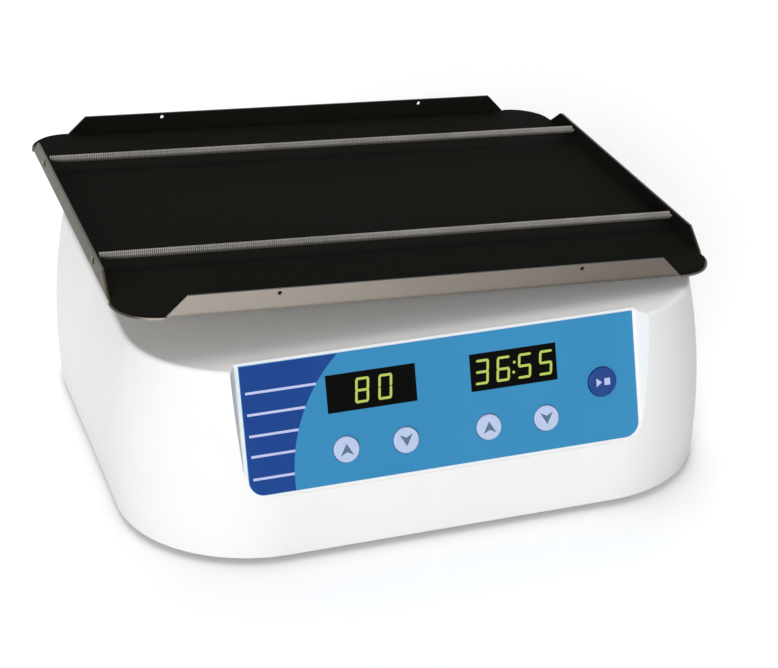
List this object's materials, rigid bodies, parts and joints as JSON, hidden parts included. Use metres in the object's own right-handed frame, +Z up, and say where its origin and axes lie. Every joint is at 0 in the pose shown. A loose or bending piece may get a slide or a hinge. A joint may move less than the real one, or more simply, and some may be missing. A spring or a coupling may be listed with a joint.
{
  "type": "rocking platform shaker",
  "caption": "Bench-top rocking shaker: a flanged tray with two retaining springs see-saws above a rounded white housing with a sloping keypad panel and lit time and speed displays.",
  "frame": {"origin": "on the bench under the middle of the housing", "axes": "+X to the right seen from the control panel, +Y to the back, +Z up"},
  "size_m": [0.3318, 0.307, 0.1412],
  "materials": {
    "shell_white": "gloss",
    "plate_grey": "satin",
    "foot_rubber": "matte",
    "screw_steel": "satin",
    "label_blue": "satin",
    "window_smoke": "gloss",
    "display_black": "matte",
    "board_green": "satin",
    "part_black": "satin",
    "key_lilac": "satin",
    "key_navy": "satin",
    "tray_steel": "satin",
    "liner_black": "matte",
    "spring_grey": "satin",
    "frame_grey": "satin",
    "stand_alloy": "satin",
    "bush_bronze": "satin",
    "shaft_bright": "gloss",
    "roller_acetal": "satin",
    "motor_steel": "satin",
    "gearbox_steel": "satin",
    "blade_brass": "satin",
    "core_iron": "satin",
    "sink_alloy": "satin"
  },
  "bodies": {
    "housing": {"housing_shell": "shell_white", "base_plate": "plate_grey", "base_screws": "screw_steel", "rubber_feet": "foot_rubber", "foot_screws": "screw_steel", "foot_nuts": "screw_steel", "control_label": "label_blue", "speed_window": "window_smoke", "time_window": "window_smoke", "speed_display": "display_black", "time_display": "display_black", "control_board": "board_green", "board_screws": "screw_steel", "key_switches": "part_black", "front_stand": "stand_alloy", "rear_stand": "stand_alloy", "stand_screws": "screw_steel", "rocker_shaft": "shaft_bright", "shaft_grub_screws": "screw_steel", "motor_bracket": "plate_grey", "bracket_screws": "screw_steel", "gearbox": "gearbox_steel", "gearbox_screws": "screw_steel", "motor": "motor_steel", "power_inlet": "part_black", "inlet_blades": "blade_brass", "inlet_screws": "screw_steel", "power_switch_frame": "part_black", "board_standoffs": "screw_steel", "power_board": "board_green", "power_board_screws": "screw_steel", "transformer": "core_iron", "board_parts": "sink_alloy"},
    "platform": {"platform_tray": "tray_steel", "tray_liner": "liner_black", "front_spring": "spring_grey", "rear_spring": "spring_grey", "tray_studs": "screw_steel", "tray_nuts": "screw_steel", "rocker_frame": "frame_grey", "drive_lever": "frame_grey", "rear_hub_plate": "frame_grey", "arm_screws": "screw_steel", "rocker_bushes": "bush_bronze"},
    "crank": {"output_shaft": "shaft_bright", "eccentric_hub": "gearbox_steel", "hub_grub_screw": "screw_steel", "roller_screw": "screw_steel"},
    "roller": {"crank_roller": "roller_acetal"},
    "speed_up_button": {"speed_up_key": "key_lilac"},
    "speed_down_button": {"speed_down_key": "key_lilac"},
    "time_up_button": {"time_up_key": "key_lilac"},
    "time_down_button": {"time_down_key": "key_lilac"},
    "start_button": {"start_key": "key_navy"},
    "power_rocker": {"power_switch_rocker": "part_black"}
  },
  "joints": [
    {"name": "platform_rock", "type": "hinge", "parent": "housing", "child": "platform", "pos_m": [0, 0.0153, 0.088], "axis": [0, 1, 0], "range_deg": [-7.79, 1.2]},
    {"name": "crank_turn", "type": "hinge", "parent": "housing", "child": "crank", "pos_m": [0, -0.0452, 0.038], "axis": [0, 1, 0], "range_deg": [-116.9, 18.05]},
    {"name": "roller_spin", "type": "hinge", "parent": "crank", "child": "roller", "pos_m": [-0.00303, -0.0537, 0.0355], "axis": [0, 1, 0], "continuous": true},
    {"name": "speed_up_key_press", "type": "slide", "parent": "housing", "child": "speed_up_button", "axis": [0, 0.9632, -0.2689], "range_m": [0, 0.0007], "stiffness_N_per_m": 450, "springref_m": -0.001},
    {"name": "speed_down_key_press", "type": "slide", "parent": "housing", "child": "speed_down_button", "axis": [0, 0.9632, -0.2689], "range_m": [0, 0.0007], "stiffness_N_per_m": 450, "springref_m": -0.001},
    {"name": "time_up_key_press", "type": "slide", "parent": "housing", "child": "time_up_button", "axis": [0, 0.9632, -0.2689], "range_m": [0, 0.0007], "stiffness_N_per_m": 450, "springref_m": -0.001},
    {"name": "time_down_key_press", "type": "slide", "parent": "housing", "child": "time_down_button", "axis": [0, 0.9632, -0.2689], "range_m": [0, 0.0007], "stiffness_N_per_m": 450, "springref_m": -0.001},
    {"name": "start_key_press", "type": "slide", "parent": "housing", "child": "start_button", "axis": [0, 0.9632, -0.2689], "range_m": [0, 0.0007], "stiffness_N_per_m": 450, "springref_m": -0.001},
    {"name": "power_switch_tilt", "type": "hinge", "parent": "housing", "child": "power_rocker", "pos_m": [0.096, 0.1469, 0.053], "axis": [1, 0, 0], "range_deg": [-22, 0]}
  ],
  "couplings": [
    {"joint": "crank_turn", "follows": "platform_rock", "ratio": 15}
  ]
}
